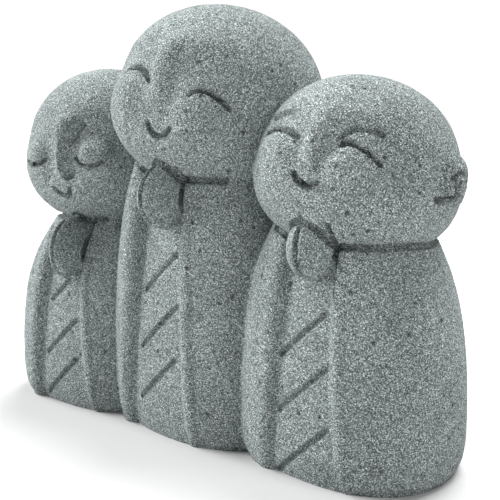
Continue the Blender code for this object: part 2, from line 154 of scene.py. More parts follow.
# Lines are laid on the forms in this direction, from this far out, as shares of a figure's height
FORWARD = Vector((0.0, 1.0, 0.0))
CLEARANCE = 0.4
EAR_CLEARANCE = 0.6

# Strokes pressed into the skin, in metres: depth, reach and the half width of the core. A negative
# depth stands proud. A line's ends are a ninth of it each, and shallower than its middle. The nib is
# found from a point beside the near figure.
FAR_NOSE_STROKE = (0.0020, 0.0021, 0.0008)
NEAR_NOSE_STROKE = (0.0006, 0.0034, 0.0008)
NIB_STROKE = (-0.0008, 0.0018, 0.0006)
FOLD_STROKE = (0.0011, 0.0009, 0.0003)
NECK_STROKE = (0.0014, 0.0011, 0.0003)
SEAM_STROKE = (0.0015, 0.0008, 0.0003)
END_STROKE = (0.0012, 0.0008, 0.0003)
DEEP_STROKE = (0.0023, 0.0009, 0.0004)
END_DIVISOR = 9
NIB_FROM = Vector((0.0788, 0.0615, 0.0275))

# Painted shade in the carved lines, where the shade of the grooves falls: how far from a line it
# reaches and fades out, in metres, and how much lies in a faint line
GROOVE_SHADE_REACH = 0.0010
GROOVE_SHADE_FADE = 0.0006
FAINT_GROOVE_SHADE = 0.5

# Proportions of the figures, as shares of each one's own height. Lines on a face are rows of
# points, in shares of the head's half width and of its height over its widest level. An opening
# holds the foot and the top of its left and its right edge. A sleeve's line runs between two levels
# from that of the hands, a fold has its level at the robe's middle, and a neck's crease runs between
# two directions in degrees. A socket and a nose have a depth and a reach.
LEFT = {
    "height": LEFT_HEIGHT,
    "robe_half_width": 0.297,
    "robe_half_depth": 0.240,
    "robe_height": 0.548,
    "head_half_width": 0.270,
    "head_half_depth": 0.226,
    "head_above": 0.283,
    "head_below": 0.190,
    "tilt": 0.0,
    "turn": math.radians(5),
    "sway": 0.0,
    "opening": ((0.148, 0.118), (0.109, 0.063)),
    "hands_level": 0.472,
    "hands_proud": 0.026,
    "neck": (-120, 40),
    "hand_half_width": 0.044,
    "hand_half_height": 0.096,
    "sleeve": (-0.03, 0.085),
    "eye_level": 0.10,
    "eyes": [
        [(0.189, 0.095), (0.23, 0.058), (0.298, 0.026), (0.389, 0.005), (0.473, 0.016), (0.565, 0.062)],
        [(-0.258, 0.057), (-0.341, 0.020), (-0.451, -0.005), (-0.53, 0.005), (-0.60, 0.04)],
    ],
    "mouth": [(-0.126, -0.225), (-0.068, -0.272), (0.02, -0.308), (0.074, -0.293), (0.107, -0.225)],
    "creases": [],
    "nose_side": [(0.19, 0.44), (0.13, 0.32), (0.09, 0.18), (0.08, 0.04), (0.10, -0.06)],
    "brow": [(0.15, -0.02), (0.16, 0.20), (0.27, 0.36), (0.45, 0.40), (0.64, 0.30)],
    "socket": (0.016, 0.060),
    "nose": [(0.03, 0.42), (0.03, 0.22), (0.03, 0.00)],
    "nose_ridge": (0.020, 0.034),
    "lids": (0.005, 0.018),
    "cheek": 0.004,
    "folds": (0.380, 0.228, 0.106),
    "fold_gap": 0.056,
    "ears": (-1,),
}
MIDDLE = {
    "height": MIDDLE_HEIGHT,
    "robe_half_width": 0.264,
    "robe_half_depth": 0.209,
    "robe_height": 0.730,
    "head_half_width": 0.259,
    "head_half_depth": 0.232,
    "head_above": 0.258,
    "head_below": 0.174,
    "tilt": 0.18,
    "turn": 0.0,
    "sway": -0.010,
    "opening": ((0.155, 0.122), (0.081, 0.059)),
    "hands_level": 0.568,
    "hands_proud": 0.052,
    "neck": (-50, 45),
    "hand_half_width": 0.040,
    "hand_half_height": 0.078,
    "sleeve": (-0.075, 0.065),
    "eye_level": 0.255,
    "eyes": [
        [(0.335, 0.26), (0.368, 0.294), (0.428, 0.312), (0.498, 0.301), (0.575, 0.257), (0.653, 0.194)],
        [(-0.123, 0.293), (-0.234, 0.36), (-0.338, 0.379), (-0.45, 0.355), (-0.54, 0.295)],
    ],
    "mouth": [(-0.045, -0.041), (0.02, -0.104), (0.09, -0.138), (0.165, -0.108), (0.23, -0.041)],
    "creases": [],
    "nose_side": [(0.11, 0.54), (0.11, 0.40), (0.12, 0.28), (0.13, 0.20)],
    "brow": [(0.13, 0.10), (0.17, 0.32), (0.33, 0.48), (0.52, 0.46), (0.68, 0.34)],
    "socket": (0.011, 0.065),
    "nose": [(0.0, 0.62), (0.0, 0.40), (0.0, 0.20)],
    "nose_ridge": (0.009, 0.036),
    "lids": (0.0, 0.0),
    "cheek": 0.009,
    "folds": (0.418, 0.290, 0.167),
    "fold_gap": 0.053,
    "ears": (),
}
RIGHT = {
    "height": RIGHT_HEIGHT,
    "robe_half_width": 0.299,
    "robe_half_depth": 0.241,
    "robe_height": 0.660,
    "head_half_width": 0.266,
    "head_half_depth": 0.238,
    "head_above": 0.269,
    "head_below": 0.183,
    "tilt": 0.136,
    "turn": 0.0,
    "sway": -0.014,
    "opening": ((0.130, 0.104), (0.116, 0.081)),
    "hands_level": 0.582,
    "hands_proud": 0.012,
    "neck": (-50, 150),
    "hand_half_width": 0.061,
    "hand_half_height": 0.083,
    "sleeve": (-0.100, 0.066),
    "eye_level": 0.355,
    "eyes": [
        [(0.212, 0.401), (0.255, 0.434), (0.32, 0.455), (0.398, 0.443), (0.487, 0.405), (0.619, 0.308)],
        [(-0.198, 0.419), (-0.318, 0.452), (-0.431, 0.457), (-0.57, 0.425), (-0.663, 0.378)],
    ],
    "mouth": [
        (-0.136, 0.124), (-0.072, 0.068), (0.003, 0.037), (0.062, 0.033), (0.106, 0.054), (0.136, 0.086),
    ],
    "creases": [
        [
            (0.17, 0.42), (0.193, 0.446), (0.24, 0.512), (0.299, 0.557),
            (0.341, 0.571), (0.444, 0.575), (0.54, 0.55),
        ],
        [(-0.36, 0.60), (-0.45, 0.60), (-0.55, 0.565), (-0.64, 0.515)],
    ],
    "nose_side": [(0.18, 0.43), (0.13, 0.37), (0.11, 0.30), (0.12, 0.24)],
    "brow": [(0.11, 0.24), (0.17, 0.42), (0.30, 0.55), (0.46, 0.56), (0.60, 0.47)],
    "socket": (0.010, 0.050),
    "nose": [(0.0, 0.66), (0.0, 0.46), (0.0, 0.27)],
    "nose_ridge": (0.008, 0.034),
    "lids": (0.0, 0.0),
    "cheek": 0.008,
    "folds": (0.390, 0.246, 0.088),
    "fold_gap": 0.036,
    "ears": (1,),
}

FIGURES = (LEFT, MIDDLE, RIGHT)

# Stone: its grains in cells a metre, and their share and colour from dark to pale
STONE_ROUGHNESS = 0.93
STONE_GLOSS = 0.25
GRAIN_SCALE = 4900.0
GRAIN_HEIGHT = 0.00006
GRAIN_COLOURS = (
    (0.0, (0.010, 0.014, 0.014)),
    (0.25, (0.062, 0.077, 0.076)),
    (0.70, (0.208, 0.244, 0.243)),
    (0.90, (0.445, 0.495, 0.49)),
    (1.0, (0.86, 0.92, 0.91)),
)

# Soft patches, small lumps, sparse pits and painted shade in carved lines. Scales are per metre,
# heights in metres, and a shade is a share of the grains' brightness.
PATCH_SCALE = 70.0
PATCH_DETAIL = 2.0
PATCH_RANGE = (0.3, 0.7)
PATCH_SHADES = (0.93, 1.07)
LUMP_SCALE = 700.0
LUMP_DETAIL = 1.0
LUMP_HEIGHT = 0.00014
PIT_SCALE = 260.0
PIT_RIM = (0.10, 0.24)
PIT_RARITY = (0.80, 0.82)
# Pits are painted darker by this share, as painted shade in their hollows
PIT_SHADE = 0.30
PIT_DEPTH = 0.0003
# Share of the grains' brightness left in carved lines by their painted shade
PAINTED_GROOVE_SHADE = 0.45

# Floor, and a surround whose strength is one for the light it gives and one for the camera
FLOOR_SIZE = 6.0
FLOOR_SHADE = 0.58
FLOOR_ROUGHNESS = 0.8
SURROUND_LIGHT = 0.03
SURROUND_SEEN = 1.05

# Lights: azimuth and elevation in degrees, and strength
LIGHT_SPREAD = math.radians(33)
LIGHTS = {
    "left light": (-75, 40, 4.3),
    "back light": (180, 65, 5.1),
    "right light": (92, 30, 1.3),
    "low left light": (-54, 10, 2.55),
    "low right light": (55, 8, 0.45),
}

# Camera: its place from the foot of the near figure, in shares of that figure's height, its angles
# in radians, and its lens and sensor in millimetres
CAMERA_OFFSET = Vector((1.176, -1.942, 0.925))
CAMERA_TURN = 0.663
CAMERA_DIP = 0.162
CAMERA_LENS = 63.978
CAMERA_SENSOR = 36.0


def stand_figures():
    """Stand the three figures in a row from the block's right end and from its back."""
    reach = [figure["robe_half_width"] * figure["height"] for figure in FIGURES]
    back = BLOCK_HIGH.y - MIDDLE["head_half_depth"] * MIDDLE["height"]
    right_x = BLOCK_HIGH.x - reach[2]
    middle_x = right_x - reach[2] - reach[1] + RIGHT_JOIN
    left_x = middle_x - reach[1] - reach[0] + LEFT_JOIN
    front = back - MIDDLE_SET_BACK
    RIGHT["place"] = Vector((right_x, front, 0.0))
    MIDDLE["place"] = Vector((middle_x, back, 0.0))
    LEFT["place"] = Vector((left_x, front + LEFT_SET_BACK, 0.0))


def head_place(figure):
    level = Vector((0.0, 0.0, (1.0 - figure["head_above"]) * figure["height"]))
    turn = Matrix.Rotation(figure["turn"], 4, "Z") @ Matrix.Rotation(figure["tilt"], 4, "Y")
    return Matrix.Translation(figure["place"] + level) @ turn


def robe_place(figure):
    return Matrix.Translation(figure["place"]) @ Matrix.Rotation(figure["turn"], 4, "Z")


def curve_through(points, steps=6):
    """Points of a smooth curve that passes through the given ones."""
    given = np.array(points, dtype=float)
    padded = np.vstack([2 * given[0] - given[1], given, 2 * given[-1] - given[-2]])
    result = []
    for index in range(len(given) - 1):
        before, start, end, after = padded[index:index + 4]
        for step in range(steps):
            t = step / steps
            linear = (end - before) * t
            square = (2 * before - 5 * start + 4 * end - after) * t * t
            cube = (3 * start - before - 3 * end + after) * t ** 3
            result.append(0.5 * (2 * start + linear + square + cube))
    result.append(given[-1])
    return np.array(result)


def on_side(pair, side):
    """The left or the right one of a pair, for a side of -1 or 1."""
    return pair[0] if side < 0 else pair[1]


def moved(points, place):
    return np.array([(place @ Vector(point))[:] for point in points])


def deselect_all():
    bpy.ops.object.select_all(action="DESELECT")


def points_of(piece):
    flat = np.empty(3 * len(piece.data.vertices), dtype=np.float32)
    piece.data.vertices.foreach_get("co", flat)
    return flat.reshape(-1, 3)


def pick(piece, chosen):
    """Enter edit mode with only the chosen vertices of a piece selected."""
    mesh = piece.data
    mesh.polygons.foreach_set("select", np.zeros(len(mesh.polygons), dtype=bool))
    mesh.edges.foreach_set("select", np.zeros(len(mesh.edges), dtype=bool))
    mesh.vertices.foreach_set("select", chosen)
    bpy.context.view_layer.objects.active = piece
    bpy.context.tool_settings.mesh_select_mode = (True, False, False)
    bpy.ops.object.mode_set(mode="EDIT")


def leave_edit_mode():
    bpy.ops.object.mode_set(mode="OBJECT")


def start_form(name):
    """Name the primitive just added and open it for shaping, with all of it selected."""
    form = bpy.context.object
    form.name = name
    bpy.ops.object.mode_set(mode="EDIT")
    bpy.ops.mesh.select_all(action="SELECT")
    return form


def close_form():
    """Turn every face of the open form outwards, and leave edit mode."""
    bpy.ops.mesh.select_all(action="SELECT")
    bpy.ops.mesh.normals_make_consistent(inside=False)
    leave_edit_mode()


def finish_with(piece, kind, **settings):
    """Add a modifier with these settings and apply it."""
    bpy.context.view_layer.objects.active = piece
    modifier = piece.modifiers.new(kind.lower(), kind)
    for name, value in settings.items():
        setattr(modifier, name, value)
    bpy.ops.object.modifier_apply(modifier=modifier.name)


def distance_to(points, routes, limit):
    """Distance from each point to the nearest route, or the limit where all are farther off."""
    nearest = np.full(len(points), limit, dtype=float)
    for route in routes:
        low = route.min(axis=0) - limit
        high = route.max(axis=0) + limit
        near = np.flatnonzero(np.all((points > low) & (points < high), axis=1))
        for start, end in zip(route[:-1], route[1:]):
            run = end - start
            offset = points[near] - start
            share = np.clip((offset @ run) / max(run @ run, 1e-14), 0.0, 1.0)
            away = np.linalg.norm(offset - share[:, None] * run, axis=1)
            nearest[near] = np.minimum(nearest[near], away)
    return nearest


def close_to(piece, routes, reach):
    """Which vertices of a piece lie within reach of the routes."""
    return distance_to(points_of(piece), routes, 2.0 * reach) < reach


def lay_on(piece, points, inward):
    """Drop the points of a route onto a piece, in the direction given."""
    hits = [piece.ray_cast(Vector(point), inward) for point in points]
    return np.array([place[:] for found, place, _, _ in hits if found])


def press(piece, routes, stroke, falloff="SMOOTH"):
    """Press grooves into a piece along routes on it. A negative depth raises ridges instead."""
    depth, reach, core = stroke
    pick(piece, close_to(piece, routes, core))
    bpy.ops.transform.shrink_fatten(
        value=-depth,
        use_proportional_edit=True,
        proportional_edit_falloff=falloff,
        proportional_size=reach,
    )
    leave_edit_mode()


def carve(piece, routes, stroke):
    """Press crisp lines with a round bottom."""
    press(piece, routes, stroke, "SPHERE")


def rounded_block(name, figure, half_size, rounding):
    """A cube subdivided into a soft squarish ball. Its half size is in shares of a figure's height."""
    deselect_all()
    bpy.ops.mesh.primitive_cube_add(size=2.0)
    block = start_form(name)
    size = [share * figure["height"] / BALL_SHARE for share in half_size]
    bpy.ops.transform.resize(value=size, center_override=(0, 0, 0))
    leave_edit_mode()
    finish_with(block, "SUBSURF", levels=rounding, render_levels=rounding)
    return block


def put_in_place(piece, place):
    """Move a finished form to its place, which stays in its mesh."""
    deselect_all()
    piece.select_set(True)
    bpy.context.view_layer.objects.active = piece
    piece.matrix_world = place
    bpy.ops.object.transform_apply(location=True, rotation=True, scale=True)


def in_front(figure, across, up):
    """Points well in front of a figure, from their places across it and their heights."""
    return np.stack([across, np.full_like(across, -CLEARANCE * figure["height"]), up], axis=1)


def face_points(figure, shares):
    """Points in front of a head, from shares of its half width and upper height."""
    across = shares[:, 0] * figure["head_half_width"] * figure["height"]
    up = shares[:, 1] * figure["head_above"] * figure["height"]
    return in_front(figure, across, up)


def push(figure, head, shares, depth, reach):
    """Push a soft hollow into a face along a line. A negative depth raises a form instead."""
    height = figure["height"]
    route = lay_on(head, face_points(figure, shares), FORWARD)
    press(head, [route], (depth * height, reach * height, FACE_CORE * height))
    return route


def model_head(figure):
    """A round head with the broad forms of its face: sockets, cheeks, lids and nose."""
    half_size = (figure["head_half_width"], figure["head_half_depth"], figure["head_above"])
    head = rounded_block("head", figure, half_size, HEAD_ROUNDING)
    pick(head, points_of(head)[:, 2] < -1e-6)
    shorter = figure["head_below"] / figure["head_above"]
    bpy.ops.transform.resize(value=(1.0, 1.0, shorter), center_override=(0, 0, 0))
    leave_edit_mode()
    cheek = np.array(CHEEK) + (0.0, figure["eye_level"])
    for side in (-1, 1):
        mirror = (side, 1.0)
        push(figure, head, curve_through(figure["brow"]) * mirror, *figure["socket"])
        push(figure, head, cheek * mirror, -figure["cheek"], CHEEK_REACH)
        proud = on_side(figure["lids"], side)
        if proud > 0.0:
            push(figure, head, np.array(LID) * mirror, -proud, LID_REACH)
    ridge, reach = figure["nose_ridge"]
    nose = push(figure, head, curve_through(figure["nose"]), -ridge, reach)
    tip = (-NOSE_TIP_SHARE * ridge, NOSE_TIP_REACH, FACE_CORE)
    press(head, [nose[-NOSE_TIP_POINTS:]], [share * figure["height"] for share in tip])
    put_in_place(head, head_place(figure))
    return head


def model_ear(figure, side):
    """A flattened shell on the side of a head."""
    height = figure["height"]
    ear = rounded_block("ear", figure, (EAR_HALF_WIDTH, EAR_HALF_DEPTH, EAR_HALF_HEIGHT), SMALL_ROUNDING)
    seat = (figure["head_half_width"] + EAR_PROUD - EAR_HALF_WIDTH) * height
    put_in_place(ear, head_place(figure) @ Matrix.Translation((side * seat, 0.0, EAR_LIFT * height)))
    return ear


def opening_edge(figure, side, z):
    """Where one edge of the robe opening lies at a height. It narrows from the foot to the hands."""
    rise = np.clip(z / (figure["hands_level"] * figure["height"]), 0.0, 1.0)
    foot, top = on_side(figure["opening"], side)
    return side * (foot + (top - foot) * rise) * figure["height"] + sway_at(figure, z)


def opening_top(figure):
    return OPENING_TOP * figure["hands_level"] * figure["height"]


def sway_at(figure, z):
    """How far the robe's middle has moved sideways at a height."""
    share = np.clip(z / (figure["robe_height"] * figure["height"]), 0.0, SWAY_TOP)
    return figure["sway"] * figure["height"] * share ** 2


def draw_up_robe(figure, inset=0.0):
    """An eight-sided ring drawn up level by level, then rounded into a squarish robe."""
    height = figure["height"]
    half_width = (figure["robe_half_width"] - inset) * height / ROBE_SHARE
    half_depth = (figure["robe_half_depth"] - inset) * height / ROBE_SHARE
    deselect_all()
    bpy.ops.mesh.primitive_plane_add(size=2.0)
    robe = start_form("robe")
    bpy.ops.mesh.bevel(offset=ROBE_CORNER, segments=1, affect="VERTICES")
    bpy.ops.mesh.select_all(action="SELECT")
    share, width = ROBE_PROFILE[0]
    level = share * figure["robe_height"] * height
    bpy.ops.transform.resize(value=(half_width * width, half_depth * width, 1.0), center_override=(0, 0, 0))
    bpy.ops.transform.translate(value=(0.0, 0.0, level))
    for share, next_width in ROBE_PROFILE[1:]:
        next_level = share * figure["robe_height"] * height
        sideways = sway_at(figure, next_level) - sway_at(figure, level)
        rise = (sideways, 0.0, next_level - level)
        bpy.ops.mesh.extrude_region_move(TRANSFORM_OT_translate={"value": rise})
        scale = next_width / width
        centre = (sway_at(figure, next_level), 0.0, next_level)
        bpy.ops.transform.resize(value=(scale, scale, 1.0), center_override=centre)
        level = next_level
        width = next_width
    close_form()
    finish_with(robe, "SUBSURF", levels=ROBE_ROUNDING, render_levels=ROBE_ROUNDING)
    return robe


def draw_roll(figure, robe, side, radius, proud):
    """A roll of cloth along one edge of the opening: a round rod drawn up along the robe's front."""
    height = figure["height"]
    up = np.linspace(ROLL_FOOT * height, opening_top(figure), ROLL_LEVELS)
    route = lay_on(robe, in_front(figure, opening_edge(figure, side, up), up), FORWARD)
    route[:, 1] += (radius - proud) * height
    deselect_all()
    bpy.ops.mesh.primitive_circle_add(vertices=ROLL_SIDES, radius=radius * height, fill_type="NGON")
    roll = start_form("roll")
    bpy.ops.transform.translate(value=route[0])
    for step in route[1:] - route[:-1]:
        bpy.ops.mesh.extrude_region_move(TRANSFORM_OT_translate={"value": step})
    close_form()
    return roll


def open_robe(figure, robe):
    """Cut the opening down the robe's front as a slot that narrows upwards."""
    height = figure["height"]
    front = -CLEARANCE * height
    back = (OPENING_BACK - figure["robe_half_depth"]) * height
    deselect_all()
    bpy.ops.mesh.primitive_cube_add(size=2.0)
    slot = bpy.context.object
    slot.name = "slot"
    for end, level in ((-1.0, SLOT_FOOT * height), (1.0, opening_top(figure))):
        left = opening_edge(figure, -1, level)
        right = opening_edge(figure, 1, level)
        pick(slot, points_of(slot)[:, 2] * end > 0.0)
        size = (0.5 * (right - left), 0.5 * (back - front), 1.0)
        bpy.ops.transform.resize(value=size, center_override=(0, 0, 0))
        centre = (0.5 * (left + right), 0.5 * (back + front), level - end)
        bpy.ops.transform.translate(value=centre)
        leave_edit_mode()
    finish_with(robe, "BOOLEAN", operation="DIFFERENCE", object=slot, solver="EXACT")
    deselect_all()
    slot.select_set(True)
    bpy.ops.object.delete()


def model_robe(figure):
    """A robe, its opening, the rolls along the opening's edges and the panel inside it."""
    robe = draw_up_robe(figure)
    rolls = [draw_roll(figure, robe, -1, *LEFT_ROLL), draw_roll(figure, robe, 1, *RIGHT_ROLL)]
    open_robe(figure, robe)
    panel = draw_up_robe(figure, PANEL_DEPTH)
    panel.name = "panel"
    pick(panel, np.ones(len(panel.data.vertices), dtype=bool))
    bpy.ops.transform.rotate(value=PANEL_LEAN, orient_axis="X", center_override=(0, 0, 0))
    bpy.ops.transform.rotate(value=PANEL_TURN, orient_axis="Z", center_override=(0, 0, 0))
    leave_edit_mode()
    forms = [robe, panel] + rolls
    for form in forms:
        put_in_place(form, robe_place(figure))
    return forms


def model_hands(figure):
    """Two hands laid palm to palm under the chin, as one rounded prow. Their seam is carved later."""
    height = figure["height"]
    half_size = (figure["hand_half_width"], HAND_HALF_DEPTH, figure["hand_half_height"])
    hands = rounded_block("hands", figure, half_size, SMALL_ROUNDING)
    level = figure["hands_level"] * height
    front = (figure["robe_half_depth"] + figure["hands_proud"] - HAND_HALF_DEPTH) * height
    put_in_place(hands, robe_place(figure) @ Matrix.Translation((sway_at(figure, level), -front, level)))
    return hands


def model_figure(figure):
    forms = [model_head(figure), model_hands(figure)]
    forms += model_robe(figure)
    forms += [model_ear(figure, side) for side in figure["ears"]]
    return forms


def cast_as_one(forms):
    """Join the overlapping forms into one closed skin with the soft inner corners of a casting."""
    deselect_all()
    for form in forms:
        form.select_set(True)
    bpy.context.view_layer.objects.active = forms[0]
    bpy.ops.object.join()
    block = bpy.context.object
    block.name = "jizo_group_stone"
    block.data.name = "jizo_group_stone"
    finish_with(block, "REMESH", mode="VOXEL", voxel_size=SKIN_GRAIN)
    finish_with(block, "SMOOTH", factor=0.5, iterations=SKIN_SOFTENING)
    return block


def line_on_face(figure, block, shares):
    """A smooth line laid on a face of the finished block."""
    points = moved(face_points(figure, curve_through(shares)), head_place(figure))
    return lay_on(block, points, robe_place(figure).to_3x3() @ FORWARD)


def line_on_robe(figure, block, across, up):
    """A line laid on the front of a robe or of the hands."""
    place = robe_place(figure)
    return lay_on(block, moved(in_front(figure, across, up), place), place.to_3x3() @ FORWARD)


def line_on_ear(figure, block, side, shares):
    """A smooth line laid on the outer side of an ear."""
    height = figure["height"]
    turns = curve_through(shares)
    points = np.zeros((len(turns), 3))
    points[:, 0] = side * EAR_CLEARANCE * height
    points[:, 1] = turns[:, 0] * EAR_HALF_DEPTH * height
    points[:, 2] = (EAR_LIFT + turns[:, 1] * EAR_HALF_HEIGHT) * height
    place = head_place(figure)
    return lay_on(block, moved(points, place), place.to_3x3() @ Vector((-side, 0.0, 0.0)))


def fold_line(figure, block, level):
    """One of the slanting folds on the panel inside the robe opening."""
    height = figure["height"]
    across = np.linspace(*FOLD_ACROSS, FOLD_STEPS) * height
    up = level * height + FOLD_SLOPE * across
    left = opening_edge(figure, -1, up) + figure["fold_gap"] * height
    right = opening_edge(figure, 1, up) - FOLD_RIGHT_GAP * height
    inside = (across > left) & (across < right)
    return line_on_robe(figure, block, across[inside], up[inside])


def seam_line(figure, block):
    """The line where the palms meet."""
    shares = np.linspace(SEAM_FOOT, SEAM_TOP, SEAM_STEPS)
    up = (figure["hands_level"] + figure["hand_half_height"] * shares) * figure["height"]
    return line_on_robe(figure, block, sway_at(figure, up), up)


def sleeve_line(figure, block):
    """The line between the hands and the roll to their right."""
    height = figure["height"]
    up = (figure["hands_level"] + np.linspace(*figure["sleeve"], SLEEVE_STEPS)) * height
    return line_on_robe(figure, block, opening_edge(figure, 1, up) - SLEEVE_GAP * height, up)


def middle_of(route):
    """A route without its ends."""
    cut = max(1, len(route) // END_DIVISOR)
    return route[cut:-cut]


def ends_of(route):
    """Both ends of a route, which are pressed in less deeply."""
    cut = max(1, len(route) // END_DIVISOR)
    return [route[:cut + 1], route[-cut - 1:]]


def neck_line(figure, block):
    """The crease between a head and its robe, at the narrowest level in each direction."""
    height = figure["height"]
    route = []
    for azimuth in np.radians(np.linspace(*figure["neck"], NECK_STEPS)):
        outward = Vector((math.sin(azimuth), -math.cos(azimuth), 0.0))
        narrowest = None
        for share in np.linspace(figure["hands_level"], 1.0 - figure["head_above"], NECK_STEPS):
            start = figure["place"] + outward * CLEARANCE * height + Vector((0.0, 0.0, share * height))
            found, place, _, _ = block.ray_cast(start, -outward)
            reach = (place - figure["place"]).xy.length
            if found and (narrowest is None or reach < narrowest[0]):
                narrowest = (reach, place[:])
        route.append(narrowest[1])
    return np.array(route)


def closeness(points, routes):
    """How near each point is to a line: 1 on the line and 0 beyond the reach of its painted shade."""
    return np.clip((GROOVE_SHADE_REACH - distance_to(points, routes, GROOVE_SHADE_REACH)) / GROOVE_SHADE_FADE, 0.0, 1.0)


def mark_lines(block, strong, faint):
    """Note on the skin where lines will be carved, for the painted shade that darkens them."""
    points = points_of(block)
    marks = np.maximum(closeness(points, strong), FAINT_GROOVE_SHADE * closeness(points, faint))
    carved = block.data.attributes.new("carved", "FLOAT", "POINT")
    carved.data.foreach_set("value", marks.astype(np.float32))


def raise_nib(block):
    """The small nib that the mould left on the near figure's side."""
    place = block.ray_cast(RIGHT["place"] + NIB_FROM, -NIB_FROM.xy.to_3d())[1]
    press(block, [np.array([place, place])], NIB_STROKE)


def refine_near(block, routes):
    """Halve the facets near the routes, so that narrow lines come out clean."""
    pick(block, close_to(block, routes, REFINED_REACH))
    bpy.ops.mesh.subdivide(number_cuts=1)
    leave_edit_mode()


def carve_lines(block):
    """Cut eyes, mouths, ears, folds, necks and the seams of hands and sleeves into the skin."""
    ears = [(figure, side) for figure in FIGURES for side in figure["ears"]]
    eyes = [line_on_face(figure, block, eye) for figure in FIGURES for eye in figure["eyes"]]
    mouths = [line_on_face(figure, block, figure["mouth"]) for figure in FIGURES]
    creases = [line_on_face(figure, block, crease) for figure in FIGURES for crease in figure["creases"]]
    nose_sides = [line_on_face(figure, block, figure["nose_side"]) for figure in FIGURES]
    folds = [fold_line(figure, block, level) for figure in FIGURES for level in figure["folds"]]
    seams = [seam_line(figure, block) for figure in FIGURES]
    sleeves = [sleeve_line(figure, block) for figure in FIGURES]
    necks = [neck_line(figure, block) for figure in FIGURES]
    grooves = [line_on_ear(figure, block, side, EAR_GROOVE) for figure, side in ears]
    hollows = [line_on_ear(figure, block, side, EAR_HOLLOW) for figure, side in ears]
    carve(block, nose_sides[:1], FAR_NOSE_STROKE)
    press(block, nose_sides[1:], NEAR_NOSE_STROKE)
    raise_nib(block)
    deep = eyes + mouths + hollows
    shallow = creases + folds + grooves
    lines = deep + shallow + necks + sleeves + seams
    refine_near(block, lines)
    # These marks carry the painted shade of the grooves: strong on some lines, faint on the others
    mark_lines(block, deep + sleeves + grooves, creases + necks + folds + seams)
    carve(block, shallow, FOLD_STROKE)
    carve(block, necks, NECK_STROKE)
    carve(block, sleeves + seams, SEAM_STROKE)
    carve(block, [end for line in deep for end in ends_of(line)], END_STROKE)
    carve(block, [middle_of(line) for line in deep], DEEP_STROKE)
    return lines


def roughen(block):
    """The slight unevenness of a casting."""
    uneven = bpy.data.textures.new("uneven casting", "CLOUDS")
    uneven.noise_scale = UNEVEN_SIZE
    uneven.noise_depth = 1
    finish_with(
        block, "DISPLACE", texture=uneven, texture_coords="LOCAL", strength=UNEVEN_HEIGHT, mid_level=0.5
    )


def thin_out(block, lines):
    """Keep the facets that the forms need, closest together along the carved lines."""
    block.vertex_groups.new(name="carving")
    pick(block, close_to(block, lines, KEPT_REACH))
    bpy.context.tool_settings.vertex_group_weight = KEPT_WEIGHT
    bpy.ops.object.vertex_group_assign()
    leave_edit_mode()
    triangles = sum(len(face.vertices) - 2 for face in block.data.polygons)
    finish_with(
        block,
        "DECIMATE",
        ratio=FACETS / triangles,
        vertex_group="carving",
        invert_vertex_group=True,
        vertex_group_factor=KEPT_FACTOR,
        use_collapse_triangulate=True,
    )
    block.vertex_groups.clear()


def cut_underside(block):
    """Cut the block off flat at the ground and close it."""
    pick(block, np.ones(len(block.data.vertices), dtype=bool))
    bpy.ops.mesh.bisect(
        plane_co=(0, 0, 0), plane_no=(0, 0, 1), use_fill=True, clear_inner=True, threshold=1e-6
    )
    bpy.ops.mesh.select_all(action="SELECT")
    bpy.ops.mesh.quads_convert_to_tris()
    close_form()


def link(tree, source, output, target, socket):
    tree.links.new(source.outputs[output], target.inputs[socket])


def step_between(tree, source, output, across, results):
    """A value that goes from the first result to the last while the source runs across a range."""
    step = tree.nodes.new("ShaderNodeMapRange")
    step.inputs["From Min"].default_value, step.inputs["From Max"].default_value = across
    step.inputs["To Min"].default_value, step.inputs["To Max"].default_value = results
    link(tree, source, output, step, "Value")
    return step


def multiplied(tree, first, second):
    product = tree.nodes.new("ShaderNodeMath")
    product.operation = "MULTIPLY"
    link(tree, first, 0, product, 0)
    link(tree, second, 0, product, 1)
    return product


def noise(tree, where, scale, detail):
    texture = tree.nodes.new("ShaderNodeTexNoise")
    texture.inputs["Scale"].default_value = scale
    texture.inputs["Detail"].default_value = detail
    link(tree, where, "Object", texture, "Vector")
    return texture


def cells(tree, where, scale):
    """A pattern of cells, and a node that splits each cell's own random colour."""
    texture = tree.nodes.new("ShaderNodeTexVoronoi")
    texture.inputs["Scale"].default_value = scale
    link(tree, where, "Object", texture, "Vector")
    kind = tree.nodes.new("ShaderNodeSeparateColor")
    link(tree, texture, "Color", kind, "Color")
    return texture, kind


def grain_ramp(tree):
    ramp = tree.nodes.new("ShaderNodeValToRGB")
    stops = ramp.color_ramp.elements
    for position, _ in GRAIN_COLOURS[1:-1]:
        stops.new(position)
    for stop, (_, colour) in zip(stops, GRAIN_COLOURS):
        stop.color = (*colour, 1.0)
    return ramp


def bumped(tree, source, output, height, before=None):
    """A bump that follows a value, on top of the bump before it."""
    bump = tree.nodes.new("ShaderNodeBump")
    bump.inputs["Distance"].default_value = height
    link(tree, source, output, bump, "Height")
    if before is not None:
        link(tree, before, "Normal", bump, "Normal")
    return bump


